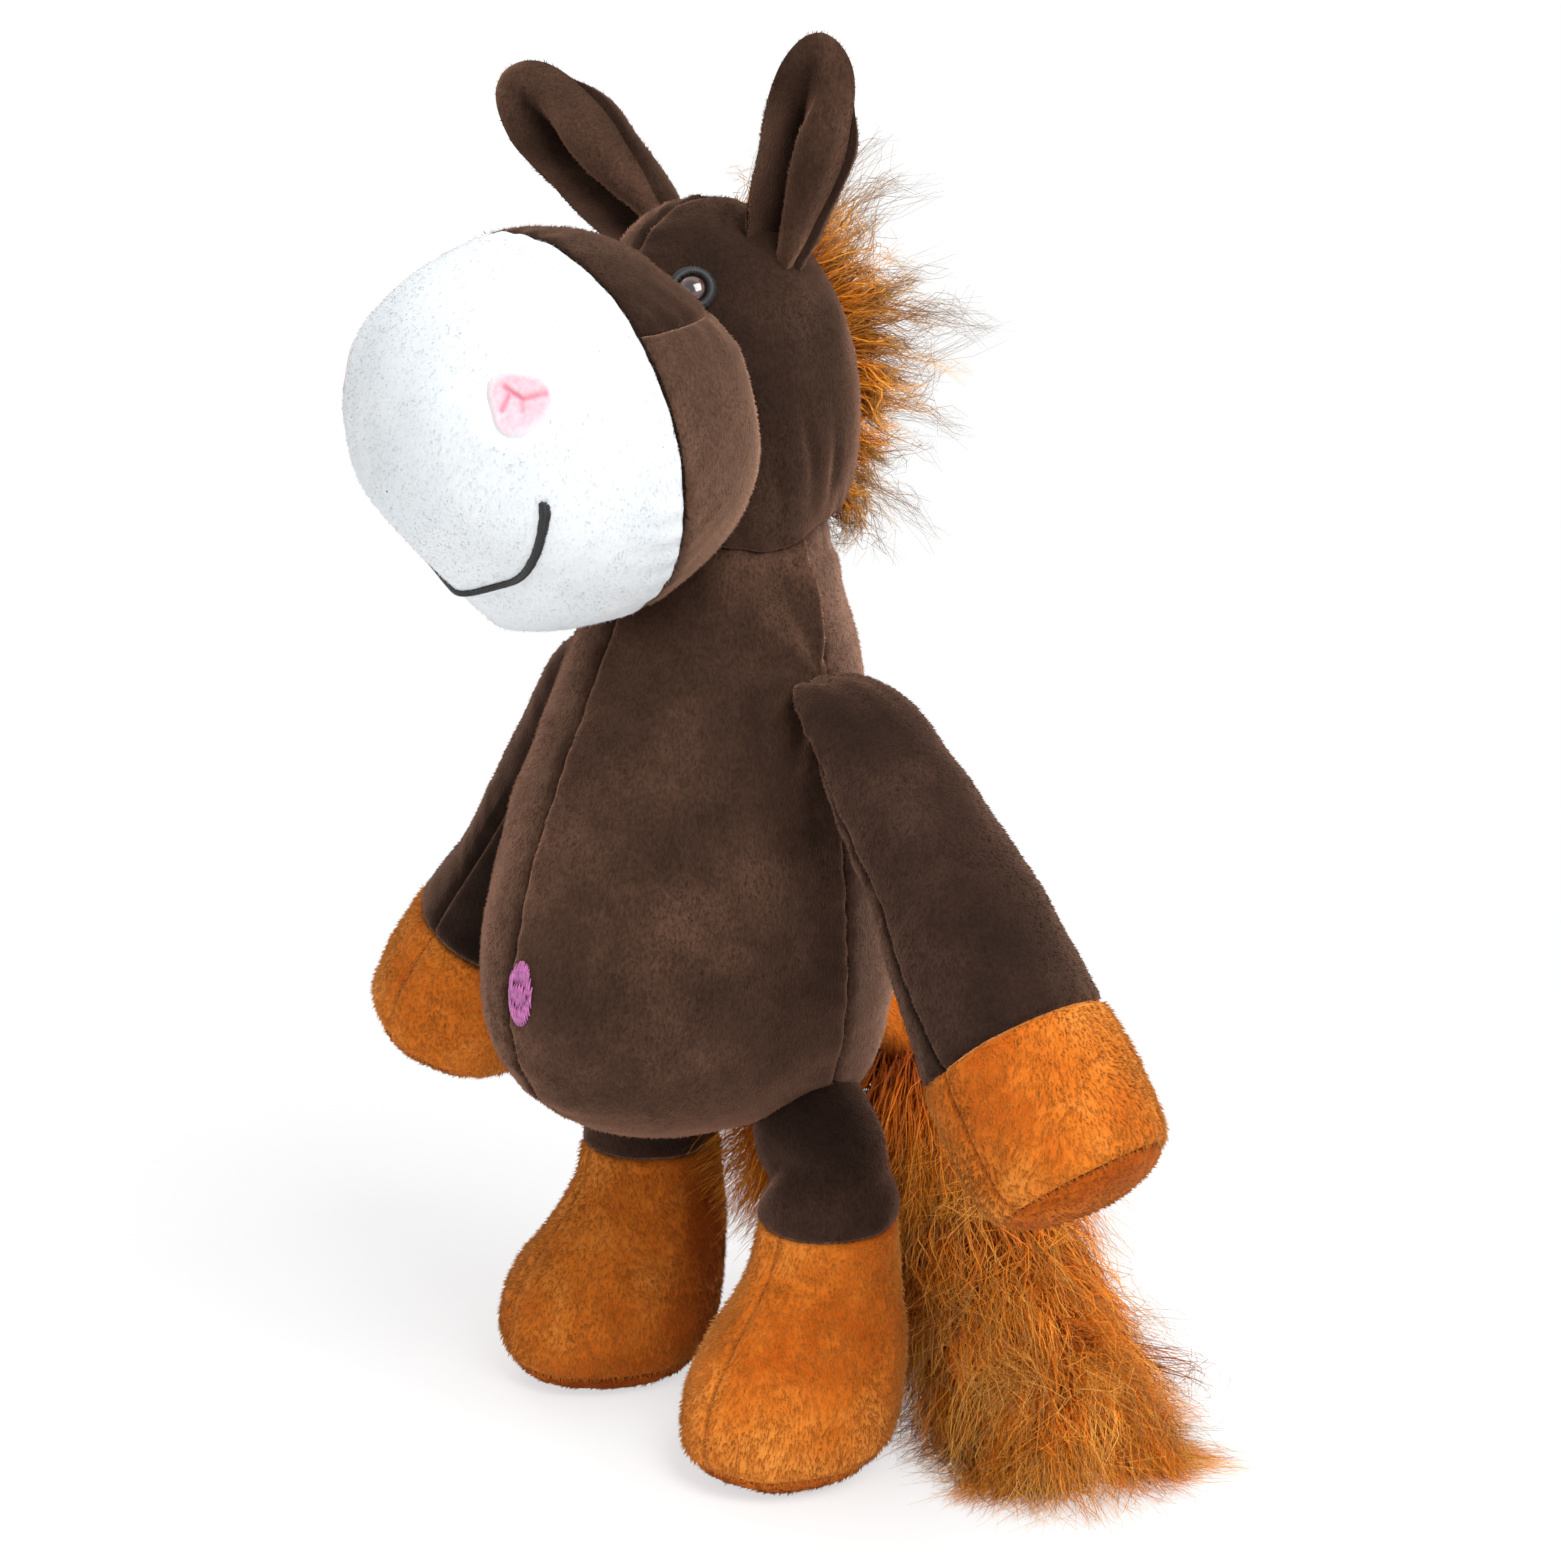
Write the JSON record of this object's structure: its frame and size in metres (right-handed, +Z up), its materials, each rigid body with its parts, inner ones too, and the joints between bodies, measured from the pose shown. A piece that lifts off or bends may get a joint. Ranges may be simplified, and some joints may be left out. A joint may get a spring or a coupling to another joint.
{
  "type": "plush horse",
  "caption": "Standing plush horse of short brown pile with orange hooves, a white muzzle, plastic eyes and a long fur mane and tail",
  "frame": {"origin": "on the floor, under the middle of the whole object", "axes": "X to the horse's left, across the arms; Y to its back, so the muzzle points to -Y; Z up, from soles to ear tips"},
  "size_m": [0.2318, 0.1634, 0.3194],
  "materials": {
    "brown_plush": "short pile plush",
    "pale_brown_plush": "short pile plush, brushed the other way",
    "dark_brown_plush": "short pile plush",
    "orange_plush": "short pile plush",
    "deep_orange_plush": "short pile plush",
    "white_plush": "short pile plush",
    "pink_plush": "short pile plush, tucked",
    "magenta_thread": "satin stitching",
    "black_thread": "satin stitching",
    "long_fur": "long pile fur",
    "backing_tape": "woven backing",
    "fibrefill": "polyester fibre, matted",
    "eye_plastic": "clear dome over brown, glossy",
    "washer_plastic": "moulded"
  },
  "bodies": {
    "torso": {"torso_left_panel": "brown_plush", "torso_right_panel": "brown_plush", "torso_back_panel": "pale_brown_plush", "torso_stuffing": "fibrefill", "navel_embroidery": "magenta_thread"},
    "neck": {"neck_wad": "fibrefill"},
    "head": {"head_left_panel": "dark_brown_plush", "head_right_panel": "dark_brown_plush", "head_stuffing": "fibrefill", "muzzle_upper_sleeve": "dark_brown_plush", "muzzle_lower_sleeve": "brown_plush", "muzzle_face_panel": "white_plush", "muzzle_stuffing": "fibrefill", "nostril_left": "pink_plush", "nostril_right": "pink_plush", "mouth_embroidery": "black_thread", "eye_left": "eye_plastic", "eye_right": "eye_plastic", "eye_washer_left": "washer_plastic", "eye_washer_right": "washer_plastic", "eye_ring_left": "black_thread", "eye_ring_right": "black_thread", "mane_strip": "backing_tape", "mane_fur": "long_fur"},
    "ear_left": {"ear_left_back": "dark_brown_plush", "ear_left_lining": "brown_plush"},
    "ear_right": {"ear_right_back": "dark_brown_plush", "ear_right_lining": "brown_plush"},
    "tail": {"tail_root": "orange_plush", "tail_fur": "long_fur"},
    "arm_left": {"arm_left_sleeve_outer": "brown_plush", "arm_left_sleeve_inner": "brown_plush", "arm_left_hoof_outer": "orange_plush", "arm_left_hoof_inner": "orange_plush", "arm_left_sole": "deep_orange_plush", "arm_left_stuffing": "fibrefill"},
    "leg_left": {"leg_left_sleeve": "brown_plush", "leg_left_boot_inner": "orange_plush", "leg_left_boot_outer": "orange_plush", "leg_left_sole": "deep_orange_plush", "leg_left_stuffing": "fibrefill"},
    "arm_right": {"arm_right_sleeve_outer": "brown_plush", "arm_right_sleeve_inner": "brown_plush", "arm_right_hoof_outer": "orange_plush", "arm_right_hoof_inner": "orange_plush", "arm_right_sole": "deep_orange_plush", "arm_right_stuffing": "fibrefill"},
    "leg_right": {"leg_right_sleeve": "brown_plush", "leg_right_boot_inner": "orange_plush", "leg_right_boot_outer": "orange_plush", "leg_right_sole": "deep_orange_plush", "leg_right_stuffing": "fibrefill"}
  },
  "joints": [
    {"name": "head_nod", "type": "hinge", "parent": "torso", "child": "neck", "pos_m": [-0.0131, 0.0072, 0.2085], "axis": [-1, 0, 0], "range_deg": [-5, 12]},
    {"name": "head_turn", "type": "hinge", "parent": "neck", "child": "head", "pos_m": [-0.0131, 0.0072, 0.2085], "axis": [0, 0, 1], "range_deg": [-25, 25]},
    {"name": "arm_lift_left", "type": "hinge", "parent": "torso", "child": "arm_left", "pos_m": [0.0199, 0.0072, 0.178], "axis": [0, -0.9986, 0.0523], "range_deg": [-22, 50]},
    {"name": "arm_lift_right", "type": "hinge", "parent": "torso", "child": "arm_right", "pos_m": [-0.0461, 0.0072, 0.178], "axis": [0, 0.9863, -0.165], "range_deg": [-4, 68]},
    {"name": "leg_swing_left", "type": "hinge", "parent": "torso", "child": "leg_left", "pos_m": [0.0184, 0.0097, 0.0795], "axis": [-1, 0, 0], "range_deg": [-8, 35]},
    {"name": "leg_swing_right", "type": "hinge", "parent": "torso", "child": "leg_right", "pos_m": [-0.0446, 0.0097, 0.0795], "axis": [-1, 0, 0], "range_deg": [-8, 35]},
    {"name": "ear_bend_left", "type": "hinge", "parent": "head", "child": "ear_left", "pos_m": [0.0034, 0.0067, 0.267], "axis": [-0.3441, 0.9259, 0.1559], "range_deg": [-12, 20]},
    {"name": "ear_bend_right", "type": "hinge", "parent": "head", "child": "ear_right", "pos_m": [-0.0291, 0.0002, 0.2685], "axis": [0.0395, 0.9728, 0.2283], "range_deg": [-20, 8]},
    {"name": "tail_lift", "type": "hinge", "parent": "torso", "child": "tail", "pos_m": [-0.0131, 0.0462, 0.0865], "axis": [1, 0, 0], "range_deg": [0, 60]}
  ]
}
